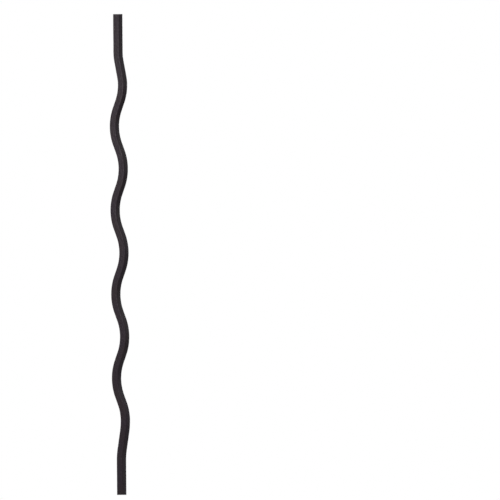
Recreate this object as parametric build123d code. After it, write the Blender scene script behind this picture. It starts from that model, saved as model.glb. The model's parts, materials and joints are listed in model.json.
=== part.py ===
from build123d import *

import math
import os

# A wavy stair baluster: one length of square iron bar, bent into even waves between two straight shanks.
# It stands on its foot at the origin and runs up +Z to its head. Every bend lies in the XZ plane, so the
# front and back faces stay flat and the two side faces carry the wave.

# Driving dimensions, in millimetres
overall_height = 1117.6  # foot to head, 44 inches, the stock length of an iron stair baluster
bar_width = 17.2  # across the flats, over the coat
edge_radius = 2.5  # well rounded corner along the four long edges
end_chamfer = 0.5  # burr taken off the two sawn ends

foot_shank = 79.0  # straight length that goes down into the tread
head_shank = 90.0  # straight length that goes up into the handrail
foot_lead = 94.0  # height from the foot shank to the lowest crest
head_lead = 74.0  # height from the highest crest to the head shank
lead_flank = 40.0  # straight flank in the middle of each lead

crest_count = 9  # crests of the wave, to the right and to the left in turn
wave_depth = 23.4  # from a right-hand crest across to a left-hand one, on the bar's centre line
wave_flank = 20.0  # straight flank between two crests

# The wave fills the height that the shanks and the leads leave
wave_height = overall_height - foot_shank - foot_lead - head_lead - head_shank
crest_pitch = wave_height / (crest_count - 1)


def s_bends():
    """Each bend from the foot up: its rise along the axis, its step sideways and its straight flank."""
    waves = crest_count - 1
    crests = [wave_depth / 2 * (-1) ** number for number in range(crest_count)]
    stations = [0, *crests, 0]
    steps = [after - before for before, after in zip(stations, stations[1:])]
    rises = [foot_lead, *[crest_pitch] * waves, head_lead]
    flanks = [lead_flank, *[wave_flank] * waves, lead_flank]
    return zip(rises, steps, flanks)


def add_s_bend(start, rise, step, flank):
    """Adds an arc, a straight flank and an equal arc back, upright where it starts and where it ends.

    The rise, the step and the flank together fix the turn and the radius of the two arcs.
    """
    turn = 2 * math.atan2(abs(step), rise + flank)
    radius = (rise - flank * math.cos(turn)) / (2 * math.sin(turn))
    swing = math.copysign(math.degrees(turn), -step)  # a step to the right turns clockwise
    leaving = JernArc(start, (0, 1), radius, swing)
    crossing = PolarLine(leaving.position_at(1), flank, direction=leaving.tangent_at(1))
    JernArc(crossing.position_at(1), crossing.tangent_at(1), radius, -swing)


def centre_line():
    """The bar's centre line: foot shank, S-bends and head shank, each tangent to the next."""
    with BuildLine(Plane.XZ) as line:
        Line((0, 0), (0, foot_shank))
        height = foot_shank
        offset = 0
        for rise, step, flank in s_bends():
            add_s_bend((offset, height), rise, step, flank)
            height += rise
            offset += step
        Line((offset, height), (offset, height + head_shank))
    return line.wire()


def wavy_baluster():
    """The rounded square section swept up the centre line, with the saw burr taken off both ends."""
    section = RectangleRounded(bar_width, bar_width, edge_radius)
    bar = sweep(section, path=centre_line())
    faces = bar.faces().sort_by(Axis.Z)
    sawn_ends = [faces[0], faces[-1]]
    burrs = [edge for face in sawn_ends for edge in face.edges()]
    return chamfer(burrs, end_chamfer)


os.makedirs("parts", exist_ok=True)
export_step(wavy_baluster(), "parts/wavy_baluster.step")
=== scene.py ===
import json
import math

import bpy
import numpy as np
from mathutils import Matrix, Vector


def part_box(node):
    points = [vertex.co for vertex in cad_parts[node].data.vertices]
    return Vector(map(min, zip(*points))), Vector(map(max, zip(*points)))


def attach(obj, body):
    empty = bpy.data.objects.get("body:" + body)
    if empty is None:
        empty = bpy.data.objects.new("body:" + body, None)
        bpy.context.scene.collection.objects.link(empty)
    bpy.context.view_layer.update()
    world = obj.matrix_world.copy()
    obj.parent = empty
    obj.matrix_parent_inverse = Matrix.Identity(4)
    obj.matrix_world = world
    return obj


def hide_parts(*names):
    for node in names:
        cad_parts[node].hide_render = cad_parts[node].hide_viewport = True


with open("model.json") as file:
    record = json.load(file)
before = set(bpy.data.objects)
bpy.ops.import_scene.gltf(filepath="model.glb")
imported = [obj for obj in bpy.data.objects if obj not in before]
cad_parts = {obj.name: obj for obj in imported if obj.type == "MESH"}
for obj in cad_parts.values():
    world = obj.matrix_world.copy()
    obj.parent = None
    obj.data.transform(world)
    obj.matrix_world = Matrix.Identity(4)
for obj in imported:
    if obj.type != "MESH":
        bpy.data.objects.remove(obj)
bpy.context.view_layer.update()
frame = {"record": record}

barLow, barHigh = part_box("wavy_baluster")
barHeight = barHigh.z - barLow.z
barWidth = barHigh.y - barLow.y
slides = [mount for mount in frame["record"]["mounts"] if mount["kind"] == "slide"]
shanks = {mount["name"]: mount["dims"]["length_mm"] / 1000 for mount in slides}  # the straight ends
print("frame loaded: bar", round(barWidth, 5), "wide and", round(barHeight, 4), "high")


# The bar's bends, in metres
bentBar = {
    "footLead": 0.094,  # from the foot shank to the lowest crest
    "headLead": 0.074,  # from the highest crest to the head shank
    "leadFlank": 0.040,  # straight flank inside each lead
    "crestCount": 9,
    "waveDepth": 0.0234,  # right crest to left crest, on the centre line
    "waveFlank": 0.020,  # straight flank between two crests
    "edgeRadius": 0.0025,
    "endChamfer": 0.0005,
}


def bendRuns():
    # (length, curvature) of each straight and arc from the foot up; positive curvature turns to +X
    form = bentBar
    waves = form["crestCount"] - 1
    waveHeight = barHeight - sum(shanks.values()) - form["footLead"] - form["headLead"]
    crests = [form["waveDepth"] / 2 * (-1) ** number for number in range(form["crestCount"])]
    stations = [0, *crests, 0]
    steps = [after - before for before, after in zip(stations, stations[1:])]
    rises = [form["footLead"], *[waveHeight / waves] * waves, form["headLead"]]
    flanks = [form["leadFlank"], *[form["waveFlank"]] * waves, form["leadFlank"]]
    runs = [(shanks["foot_shank"], 0)]
    for rise, step, flank in zip(rises, steps, flanks):
        turn = 2 * math.atan2(abs(step), rise + flank)
        radius = (rise - flank * math.cos(turn)) / (2 * math.sin(turn))
        bend = math.copysign(1 / radius, step)
        runs += [(radius * turn, bend), (flank, 0), (radius * turn, -bend)]
    runs.append((shanks["head_shank"], 0))
    return runs


def followRun(start, bend, distance):
    # x, z and heading at some distance along one straight or arc
    x, z, heading = start
    turned = heading + bend * distance
    if bend:
        across = (math.cos(heading) - np.cos(turned)) / bend
        upward = (np.sin(turned) - math.sin(heading)) / bend
    else:
        across = distance * math.sin(heading)
        upward = distance * math.cos(heading)
    return np.stack([x + across, z + upward, turned])


def centreLine(along):
    # x, z and heading of the centre line at each distance along the bar
    line = np.zeros((3, len(along)))
    start = (0.0, barLow.z, 0.0)
    passed = 0.0
    for length, bend in bendRuns():
        reached = along >= passed
        line[:, reached] = followRun(start, bend, np.minimum(along[reached] - passed, length))
        start = followRun(start, bend, length)
        passed += length
    return line


# The mesh of the bar: rings of points from the middle of the foot, up the bar, to the middle of the head
barMesh = {
    "stationStep": 0.0011,  # along the bar
    "flatSteps": 14,  # across each flat
    "cornerSteps": 6,  # round each long edge
    "endRings": 6,  # from the middle of a sawn end to its rim
    "sharpAngle": 35,  # degrees; the rims of the sawn ends stay crisp
    "mapStrips": 4,  # the bar's skin is cut into strips, side by side on its UV map
    "mapGap": 0.002,
}


def barSection():
    # points of the rounded square, their outward normals, and how far round a corner each one is
    half = barWidth / 2
    radius = bentBar["edgeRadius"]
    points, normals, rounding = [], [], []
    for side in range(4):
        facing = side * math.pi / 2
        out = np.array([math.cos(facing), math.sin(facing)])
        across = np.array([-out[1], out[0]])
        for share in np.linspace(-1, 1, barMesh["flatSteps"] + 1):
            points.append(out * half + across * (half - radius) * share)
            normals.append(out)
            rounding.append(0)
        for angle in np.linspace(0, math.pi / 2, barMesh["cornerSteps"] + 1)[1:-1]:
            normal = out * math.cos(angle) + across * math.sin(angle)
            points.append((out + across) * (half - radius) + normal * radius)
            normals.append(normal)
            rounding.append(math.sin(2 * angle))
    return np.array(points), np.array(normals), np.array(rounding)


# Marks of rolling and forging, pressed inwards: half length, half width and depth, in metres
forgeMarks = {
    "hammering": {
        "number": 2600,
        "long": (0.0022, 0.0048),
        "wide": (0.0016, 0.0032),
        "deep": (0.00003, 0.00010),
    },
    "rolling": {
        "number": 260,
        "long": (0.0040, 0.0120),
        "wide": (0.0010, 0.0018),
        "deep": (0.00004, 0.00009),
    },
    "dents": {
        "number": 300,
        "long": (0.0012, 0.0032),
        "wide": (0.0009, 0.0017),
        "deep": (0.00008, 0.00026),
    },
    "edgeNicks": {
        "number": 140,
        "long": (0.0015, 0.0050),
        "wide": (0.0010, 0.0018),
        "deep": (0.00003, 0.00012),
    },
}

# How those marks are laid on the bar
markLaying = {
    "seed": 11,
    "reach": 2.5,  # half lengths from its middle at which a mark has died away
    "cornerCrown": 0.9,  # how far round a long edge the nicks sit
}


def pressMarks(along, around, rounding):
    # how deep each point of the bar is pressed in; a deep mark swallows a shallow one
    rng = np.random.default_rng(markLaying["seed"])
    places, girth = around[:-1], around[-1]
    crowns = places[rounding > markLaying["cornerCrown"]]
    depth = np.zeros((len(along), len(places)))
    for kind, marks in forgeMarks.items():
        for number in range(marks["number"]):
            middle = rng.uniform(along[0], along[-1])
            place = rng.choice(crowns) if kind == "edgeNicks" else rng.uniform(0, girth)
            long, wide, deep = (rng.uniform(*marks[size]) for size in ("long", "wide", "deep"))
            reach = markLaying["reach"] * long
            first, last = np.searchsorted(along, (middle - reach, middle + reach))
            aside = (places - place + girth / 2) % girth - girth / 2
            oval = ((along[first:last, None] - middle) / long) ** 2 + (aside / wide) ** 2
            depth[first:last] = np.maximum(depth[first:last], deep * np.exp(-oval))
    return depth


# Uneven skin under the marks, pressed inwards too: its grain and its middle depth, in metres
unevenSkin = {
    "seed": 23,
    "long": 0.0018,
    "wide": 0.0012,
    "deep": 0.00008,
    "edgeShare": 0.3,  # how much of the depth is left on a long edge
    "fullDepth": 0.00024,  # below the middle depth, where the coat has settled all it can
}


def sinkSkin(along, around, rounding):
    # smooth hollows and crests, from no depth to twice the middle depth, closed round the girth
    skin = unevenSkin
    shape = len(along), len(rounding)
    spans = along[-1] - along[0], around[-1]
    upward, sideways = (np.fft.fftfreq(count, span / count) for count, span in zip(shape, spans))
    waves = (upward[:, None] * skin["long"]) ** 2 + (sideways * skin["wide"]) ** 2
    grain = np.random.default_rng(skin["seed"]).standard_normal(shape)
    smooth = np.fft.ifft2(np.fft.fft2(grain) * np.exp(-2 * math.pi ** 2 * waves)).real  # Gaussian blur
    edgeLoss = (1 - skin["edgeShare"]) * rounding
    return skin["deep"] * (1 + np.tanh(smooth / smooth.std())) * (1 - edgeLoss)


def straightBar():
    # the bar before it is bent, ring by ring: sawn end, forged faces, sawn end
    section, normals, rounding = barSection()
    spans = np.linalg.norm(np.roll(section, -1, axis=0) - section, axis=1)
    around = np.append(0, np.cumsum(spans))  # one place more than the points, where the girth closes
    length = sum(run for run, bend in bendRuns())
    chamfer, endRings = bentBar["endChamfer"], barMesh["endRings"]
    stations = np.linspace(chamfer, length - chamfer, math.ceil(length / barMesh["stationStep"]))
    depth = pressMarks(stations, around, rounding) + sinkSkin(stations, around, rounding)
    grow = np.arange(1, endRings + 1) / endRings
    sawnEnd = (section - normals * chamfer) * grow[:, None, None]
    unmarked = np.zeros((endRings, len(section)))
    return {
        "around": around,
        "along": np.concatenate([np.zeros(endRings), stations, np.full(endRings, length)]),
        "across": np.concatenate([sawnEnd, section - normals * depth[..., None], sawnEnd[::-1]]),
        "depth": np.concatenate([unmarked, depth, unmarked]),
        "rounding": np.concatenate([unmarked, np.tile(rounding, (len(stations), 1)), unmarked]),
    }


def bendBar(bar):
    # the rings carried onto the centre line
    x, z, heading = centreLine(bar["along"])
    level = np.zeros(len(x))
    middle = np.stack([x, level, z], 1)
    sideways = np.stack([np.cos(heading), level, -np.sin(heading)], 1)
    front = np.array([0, 1, 0])
    across = bar["across"]
    return middle[:, None] + across[..., :1] * sideways[:, None] + across[..., 1:] * front


def barFaces(rings, columns):
    # face row, ring and column of every face corner: four-sided faces, then the two that close the ends
    row, column = np.meshgrid(np.arange(rings - 1), np.arange(columns), indexing="ij")
    turn = np.arange(columns)
    lower, upper = np.zeros(columns, int), np.full(columns, rings - 1)
    faceRow = np.concatenate([np.repeat(row, 4), lower, upper - 1])
    ring = np.concatenate([(row[..., None] + [0, 0, 1, 1]).ravel(), lower, upper])
    column = np.concatenate([(column[..., None] + [0, 1, 1, 0]).ravel(), turn[::-1], turn])
    points = ring * columns + column % columns
    closing = points[-2 * columns:].reshape(2, columns)
    faces = points[:-2 * columns].reshape(-1, 4).tolist() + closing.tolist()
    return faces, faceRow, ring, column


def skinMap(bar, faceRow, ring, column):
    # UV places: the skin in strips side by side, and the two sawn ends above them
    along, around, across = bar["along"], bar["around"], bar["across"]
    strips, gap = barMesh["mapStrips"], barMesh["mapGap"]
    first, last = barMesh["endRings"] - 1, len(along) - barMesh["endRings"]
    pitch = around[-1] + gap
    stripTop = along[-1] / strips + 2 * gap
    strip = np.clip((faceRow - first) * strips // (last - first), 0, strips - 1)
    stripStart = first - (-strip * (last - first) // strips)  # the ring where that strip begins
    skin = np.stack([strip * pitch + around[column], along[ring] - along[stripStart]], 1)
    atHead = faceRow >= last
    endPlace = np.stack([pitch * (atHead + 0.5), np.full(len(ring), stripTop + barWidth / 2)], 1)
    seenFrom = np.stack([np.where(atHead, 1, -1), np.ones(len(ring))], 1)  # the foot is seen from below
    sawn = endPlace + across[ring, column % across.shape[1]] * seenFrom
    isEnd = (faceRow < first) | atHead
    place = np.where(isEnd[:, None], sawn, skin) + gap / 2
    return place / (strips * pitch, stripTop + barWidth + gap), isEnd


def giveFields(mesh, bar):
    # what the coat reads: the place on the straight bar, how far it is pressed in and the long edges
    along = np.broadcast_to(bar["along"][:, None, None], (*bar["depth"].shape, 1))
    pressed = (bar["depth"] - unevenSkin["deep"]) / unevenSkin["fullDepth"]
    fields = (
        ("straightBar", "FLOAT_VECTOR", "vector", np.concatenate([bar["across"], along], 2)),
        ("pressedIn", "FLOAT", "value", np.clip(pressed, 0, 1)),
        ("longEdge", "FLOAT", "value", bar["rounding"]),
    )
    for name, kind, part, field in fields:
        values = mesh.attributes.new(name, kind, "POINT").data
        values.foreach_set(part, field.astype(np.float32).ravel())


def giveMap(mesh, place, isEnd):
    # the UV map named for baking, and a finish of their own for the sawn ends
    mesh.uv_layers.new(name="OFBake").uv.foreach_set("vector", place.astype(np.float32).ravel())
    firstCorner = np.zeros(len(mesh.polygons), np.int32)
    mesh.polygons.foreach_get("loop_start", firstCorner)
    mesh.polygons.foreach_set("material_index", isEnd[firstCorner].astype(np.int32))


def makeBar():
    bar = straightBar()
    points = bendBar(bar)
    rings, columns = points.shape[:2]
    faces, *corners = barFaces(rings, columns)
    mesh = bpy.data.meshes.new("wavyBaluster")
    mesh.from_pydata(points.reshape(-1, 3).tolist(), [], faces)
    mesh.shade_smooth()
    mesh.set_sharp_from_angle(angle=math.radians(barMesh["sharpAngle"]))
    giveFields(mesh, bar)
    giveMap(mesh, *skinMap(bar, *corners))
    baluster = bpy.data.objects.new("wavyBaluster", mesh)
    bpy.context.collection.objects.link(baluster)
    print("bar meshed:", rings, "rings of", columns, "points")
    return baluster


def addNode(tree, kind, inputs=None, **settings):
    # a node with its settings and its inputs; an input that is a socket is linked
    node = tree.nodes.new("ShaderNode" + kind)
    for name, value in settings.items():
        setattr(node, name, value)
    for name, value in (inputs or {}).items():
        if isinstance(value, bpy.types.NodeSocket):
            tree.links.new(value, node.inputs[name])
        else:
            node.inputs[name].default_value = value
    return node


def mathNode(tree, operation, *values):
    return addNode(tree, "Math", dict(enumerate(values)), operation=operation).outputs[0]


def weightedSum(tree, fields, weights, start=0.0):
    total = start
    for name, weight in weights.items():
        total = mathNode(tree, "MULTIPLY_ADD", fields[name], weight, total)
    return total


def strongest(tree, fields, weights):
    total = 0.0
    for name, weight in weights.items():
        total = mathNode(tree, "MAXIMUM", mathNode(tree, "MULTIPLY", fields[name], weight), total)
    return total


# A Mix node's sockets for colours, which have the same names as those for numbers
colourMix = {"share": 0, "first": 6, "second": 7, "mixed": 2}


def mixColour(tree, share, first, second):
    inputs = {colourMix["share"]: share, colourMix["first"]: first, colourMix["second"]: second}
    return addNode(tree, "Mix", inputs, data_type="RGBA").outputs[colourMix["mixed"]]


def spread(tree, value, ends):
    # 0 at the first end and 1 at the second, eased
    span = {"Value": value, "From Min": ends[0], "From Max": ends[1]}
    return addNode(tree, "MapRange", span, interpolation_type="SMOOTHSTEP").outputs["Result"]


def drawnNoise(tree, place, perMetre, drawnOut, detail):
    shrink = tuple(1 / length for length in drawnOut)
    drawn = addNode(tree, "Mapping", {"Vector": place, "Scale": shrink}).outputs[0]
    noise = {"Vector": drawn, "Scale": perMetre, "Detail": detail}
    return addNode(tree, "TexNoise", noise).outputs["Fac"]


# Pits in the scale: rippled cells, of which only some hold a pit
pitCells = {
    "perMetre": 240,
    "ripplesPerMetre": 700,
    "rippleDetail": 1,
    "ripple": 0.0018,  # metres
    "ends": (0.34, 0.04),  # from the middle of a cell
    "chance": (0.74, 0.80),
}


def scatteredPits(tree, place):
    pits = pitCells
    noise = {"Vector": place, "Scale": pits["ripplesPerMetre"], "Detail": pits["rippleDetail"]}
    ripple = addNode(tree, "TexNoise", noise).outputs["Color"]
    bend = {0: ripple, 1: (pits["ripple"],) * 3, 2: place}
    bent = addNode(tree, "VectorMath", bend, operation="MULTIPLY_ADD").outputs[0]
    cells = addNode(tree, "TexVoronoi", {"Vector": bent, "Scale": pits["perMetre"]}).outputs
    lot = addNode(tree, "SeparateColor", {"Color": cells["Color"]}).outputs[0]
    bowl = spread(tree, cells["Distance"], pits["ends"])
    return mathNode(tree, "MULTIPLY", bowl, spread(tree, lot, pits["chance"]))


# How the coat lies: features to the metre, and how far each is drawn out across and up the bar
coatNoise = {
    "drift": {"perMetre": 50, "drawnOut": (1, 1, 2.0), "detail": 2},  # between the two tones
    "mottle": {"perMetre": 230, "drawnOut": (1, 1, 1.6), "detail": 1},  # the coat's thickness
    "peel": {"perMetre": 440, "drawnOut": (1, 1, 1.35), "detail": 0.7},  # orange peel
    "ridge": {"perMetre": 190, "drawnOut": (1, 1, 2.8), "detail": 1},  # lines of scale at its middle
    "scale": {"perMetre": 130, "drawnOut": (1, 1, 1.5), "detail": 1},  # where the scale was left
}

# Where each feature of the coat begins and where it is full, and its share in the sums
coatLook = {
    "noiseMiddle": 0.5,  # the level that every noise lies about
    "toneEnds": (0.38, 0.62),  # of the drift, from plum to brown
    "ridgeEnds": (0.13, 0.0),  # away from the middle of the ridge noise
    "scaleEnds": (0.50, 0.62),
    "hollowEnds": (0.66, 0.34),  # of the thickness
    "rubEnds": (0.45, 1.0),  # round the long edge
    "patchEnds": (0.42, 0.66),  # of the mottle, where the edge is rubbed
    "thickness": {"mottle": 0.6, "peel": 0.4},
    "settling": {"hollow": 0.42, "pressed": 0.45, "pit": 0.40},
    "dulling": {"mottle": -0.25, "pit": 0.12, "bare": -0.10},
    "relief": {"mottle": 0.25, "peel": 1.35, "scaleRidge": 0.50, "pit": -0.45},
    "edgeRelief": 0.30,  # how much of the relief is left on a long edge
}


def forgedCoatGroup():
    # mottled coat over forged iron: colour, roughness change and height at a place on the straight bar
    look = coatLook
    tree = bpy.data.node_groups.new("forgedCoat", "ShaderNodeTree")
    tree.interface.new_socket("Place", in_out="INPUT", socket_type="NodeSocketVector")
    for name in ("Pressed", "Edge", "Wear"):
        tree.interface.new_socket(name, in_out="INPUT", socket_type="NodeSocketFloat")
    for name in ("Plum", "Brown", "Deep", "Rubbed"):
        tree.interface.new_socket(name, in_out="INPUT", socket_type="NodeSocketColor")
    tree.interface.new_socket("Colour", in_out="OUTPUT", socket_type="NodeSocketColor")
    for name in ("Roughness Change", "Height"):
        tree.interface.new_socket(name, in_out="OUTPUT", socket_type="NodeSocketFloat")
    given = tree.nodes.new("NodeGroupInput").outputs
    result = tree.nodes.new("NodeGroupOutput").inputs

    field = {name: drawnNoise(tree, given["Place"], **lie) for name, lie in coatNoise.items()}
    field["pit"] = scatteredPits(tree, given["Place"])
    field["pressed"] = given["Pressed"]
    offMiddle = mathNode(tree, "SUBTRACT", field["ridge"], look["noiseMiddle"])
    crest = spread(tree, mathNode(tree, "ABSOLUTE", offMiddle), look["ridgeEnds"])
    scaled = spread(tree, field["scale"], look["scaleEnds"])
    field["scaleRidge"] = mathNode(tree, "MULTIPLY", crest, scaled)
    field["hollow"] = spread(tree, weightedSum(tree, field, look["thickness"]), look["hollowEnds"])
    rubbed = mathNode(tree, "MULTIPLY", spread(tree, given["Edge"], look["rubEnds"]), given["Wear"])
    patch = spread(tree, field["mottle"], look["patchEnds"])
    field["bare"] = mathNode(tree, "MULTIPLY", rubbed, patch)

    tone = spread(tree, field["drift"], look["toneEnds"])
    body = mixColour(tree, tone, given["Plum"], given["Brown"])
    coated = mixColour(tree, strongest(tree, field, look["settling"]), body, given["Deep"])
    tree.links.new(mixColour(tree, field["bare"], coated, given["Rubbed"]), result["Colour"])

    # each sum starts with the middle of its noises taken off, so that it lies about zero
    evenGloss = -look["noiseMiddle"] * look["dulling"]["mottle"]
    gloss = weightedSum(tree, field, look["dulling"], evenGloss)
    tree.links.new(gloss, result["Roughness Change"])
    evenHeight = -look["noiseMiddle"] * (look["relief"]["mottle"] + look["relief"]["peel"])
    height = weightedSum(tree, field, look["relief"], evenHeight)
    flattening = mathNode(tree, "MULTIPLY_ADD", given["Edge"], look["edgeRelief"] - 1, 1.0)
    tree.links.new(mathNode(tree, "MULTIPLY", height, flattening), result["Height"])
    return tree


# Coat of dark bronze over the forged iron, colours as linear red, green and blue
bronzeCoat = {
    "plum": (0.0620, 0.0400, 0.0600, 1),  # the two tones of the body
    "brown": (0.0650, 0.0420, 0.0520, 1),
    "deep": (0.0320, 0.0205, 0.0300, 1),  # settled in the hollows
    "rubbed": (0.0950, 0.0680, 0.0850, 1),  # worn along the long edges
    "wear": 0.20,
    "roughness": 0.44,
    "bump": 0.00042,  # metres that one unit of height stands for
}

# The same coat, thinner, on the two sawn ends
sawnCoat = {
    "plum": (0.0420, 0.0280, 0.0400, 1),
    "brown": (0.0440, 0.0290, 0.0370, 1),
    "deep": (0.0250, 0.0165, 0.0235, 1),
    "rubbed": (0.0660, 0.0480, 0.0590, 1),
    "wear": 0.0,
    "roughness": 0.55,
    "bump": 0.00018,
    "sawStrokes": {"perMetre": 1100, "drawnOut": (16, 1, 1), "detail": 2},  # across the cut
    "strokeDepth": 1.0,  # units of height
}


def coatMaterial(name, coat, group):
    material = bpy.data.materials.new(name)
    material.use_nodes = True
    tree = material.node_tree
    shader = tree.nodes["Principled BSDF"]
    place = addNode(tree, "Attribute", attribute_name="straightBar").outputs["Vector"]
    pressed = addNode(tree, "Attribute", attribute_name="pressedIn").outputs["Fac"]
    edge = addNode(tree, "Attribute", attribute_name="longEdge").outputs["Fac"]
    inputs = {"Place": place, "Pressed": pressed, "Edge": edge, "Wear": coat["wear"]}
    inputs.update({tone.capitalize(): coat[tone] for tone in ("plum", "brown", "deep", "rubbed")})
    effect = addNode(tree, "Group", inputs, node_tree=group).outputs
    height = effect["Height"]
    if "sawStrokes" in coat:
        strokes = drawnNoise(tree, place, **coat["sawStrokes"])
        height = mathNode(tree, "MULTIPLY_ADD", strokes, coat["strokeDepth"], height)
    bump = addNode(tree, "Bump", {"Height": height, "Distance": coat["bump"]})
    roughness = mathNode(tree, "ADD", effect["Roughness Change"], coat["roughness"])
    tree.links.new(effect["Colour"], shader.inputs["Base Color"])
    tree.links.new(roughness, shader.inputs["Roughness"])
    tree.links.new(bump.outputs["Normal"], shader.inputs["Normal"])
    return material


baluster = makeBar()
forgedCoat = forgedCoatGroup()
baluster.data.materials.append(coatMaterial("bronzeCoat", bronzeCoat, forgedCoat))
baluster.data.materials.append(coatMaterial("sawnCoat", sawnCoat, forgedCoat))
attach(baluster, "root")
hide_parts("wavy_baluster")
print("coat applied")


# Floor and backdrop
studio = {
    "floorSide": 12.0,
    "floorColour": (0.62, 0.62, 0.62, 1),
    "floorGlow": 0.60,  # lifts the floor to near white in the picture, and lights nothing
    "floorBounce": (0.40, 0.40, 0.40, 1),  # the floor as the object's own light sees it
    "white": (1, 1, 1, 1),
    "fill": 0.22,  # the world's light on the object
    "backdrop": 1.0,  # the white that the camera sees
    "mirrored": 0.12,  # how much of that white the satin coat mirrors
}


def makeFloor():
    half = studio["floorSide"] / 2
    corners = [(-half, -half, 0), (half, -half, 0), (half, half, 0), (-half, half, 0)]
    mesh = bpy.data.meshes.new("floor")
    mesh.from_pydata(corners, [], [(0, 1, 2, 3)])
    floor = bpy.data.objects.new("floor", mesh)
    bpy.context.collection.objects.link(floor)
    material = bpy.data.materials.new("paleFloor")
    material.use_nodes = True
    tree = material.node_tree
    tree.nodes.clear()
    seen = addNode(tree, "LightPath").outputs["Is Camera Ray"]
    pale = addNode(tree, "BsdfDiffuse", {"Color": studio["floorColour"]}).outputs[0]
    glow = addNode(tree, "Emission", {"Strength": studio["floorGlow"]}).outputs[0]
    pictured = addNode(tree, "AddShader", {0: pale, 1: glow}).outputs[0]
    bounce = addNode(tree, "BsdfDiffuse", {"Color": studio["floorBounce"]}).outputs[0]
    mix = addNode(tree, "MixShader", {0: seen, 1: bounce, 2: pictured}).outputs[0]
    addNode(tree, "OutputMaterial", {"Surface": mix})
    mesh.materials.append(material)


def makeWorld():
    world = bpy.data.worlds.new("studioWorld")
    bpy.context.scene.world = world
    world.use_nodes = True
    tree = world.node_tree
    tree.nodes.clear()
    path = addNode(tree, "LightPath").outputs
    white = studio["white"]
    fill = addNode(tree, "Background", {"Color": white, "Strength": studio["fill"]}).outputs[0]
    backdrop = addNode(tree, "Background", {"Color": white, "Strength": studio["backdrop"]}).outputs[0]
    shares = {"Is Camera Ray": 1, "Is Transmission Ray": 1, "Is Glossy Ray": studio["mirrored"]}
    mix = {0: strongest(tree, path, shares), 1: fill, 2: backdrop}
    addNode(tree, "OutputWorld", {"Surface": addNode(tree, "MixShader", mix).outputs[0]})


# Soft lamps: metres and watts
studioLamps = {
    "key": {"place": (-0.15, -1.45, 1.00), "aim": (0, 0, 0.80), "power": 5.2, "size": 0.6},
    "back": {"place": (-0.45, 1.35, 1.15), "aim": (0, 0, 0.85), "power": 7.0, "size": 0.6},
    "side": {"place": (-1.35, 0.10, 1.15), "aim": (0, 0, 0.85), "power": 1.6, "size": 0.6},
}


def makeLamp(name, setting):
    place, aim = Vector(setting["place"]), Vector(setting["aim"])
    lamp = bpy.data.lights.new(name + "Lamp", "AREA")
    lamp.size = setting["size"]
    lamp.energy = setting["power"]
    holder = bpy.data.objects.new(name + "Lamp", lamp)
    bpy.context.collection.objects.link(holder)
    holder.location = place
    holder.rotation_mode = "QUATERNION"
    holder.rotation_quaternion = (aim - place).to_track_quat("-Z", "Y")
    holder.visible_camera = False


makeFloor()
makeWorld()
for lampName, lampSetting in studioLamps.items():
    makeLamp(lampName, lampSetting)
print("studio ready")


# Camera: level, with the bar at the left of the picture as in the photo
photoView = {
    "azimuth": 32.75,  # degrees round from the flat front face
    "lean": 0.48,  # degrees that the head leans to the left
    "frame": 500,  # pixels a side
    "axisColumn": 119.7,  # pixel column of the bar's axis, half way up the picture
    "headRow": 14.1,  # pixel rows of the two ends
    "footRow": 494.9,
    "distance": 3.0,
}


def makeCamera():
    view = photoView
    turn, lean = math.radians(view["azimuth"]), math.radians(view["lean"])
    middle = view["frame"] / 2
    pixel = barHeight * math.cos(lean) / (view["footRow"] - view["headRow"])
    level = Vector((math.cos(turn), math.sin(turn), 0))
    upright = Vector((0, 0, 1))
    right = level * math.cos(lean) - upright * math.sin(lean)
    up = upright * math.cos(lean) + level * math.sin(lean)
    back = Vector((math.sin(turn), -math.cos(turn), 0))
    axisHeight = barHigh.z - (middle - view["headRow"]) * pixel / math.cos(lean)
    aside = (middle - view["axisColumn"]) * pixel
    camera = bpy.data.cameras.new("photoCamera")
    camera.type = "ORTHO"
    camera.ortho_scale = view["frame"] * pixel
    holder = bpy.data.objects.new("photoCamera", camera)
    bpy.context.collection.objects.link(holder)
    holder.matrix_world = Matrix((right, up, back)).transposed().to_4x4()
    holder.location = upright * axisHeight + right * aside + back * view["distance"]
    bpy.context.scene.camera = holder


makeCamera()
bpy.context.scene.view_settings.view_transform = "Standard"
print("camera ready")
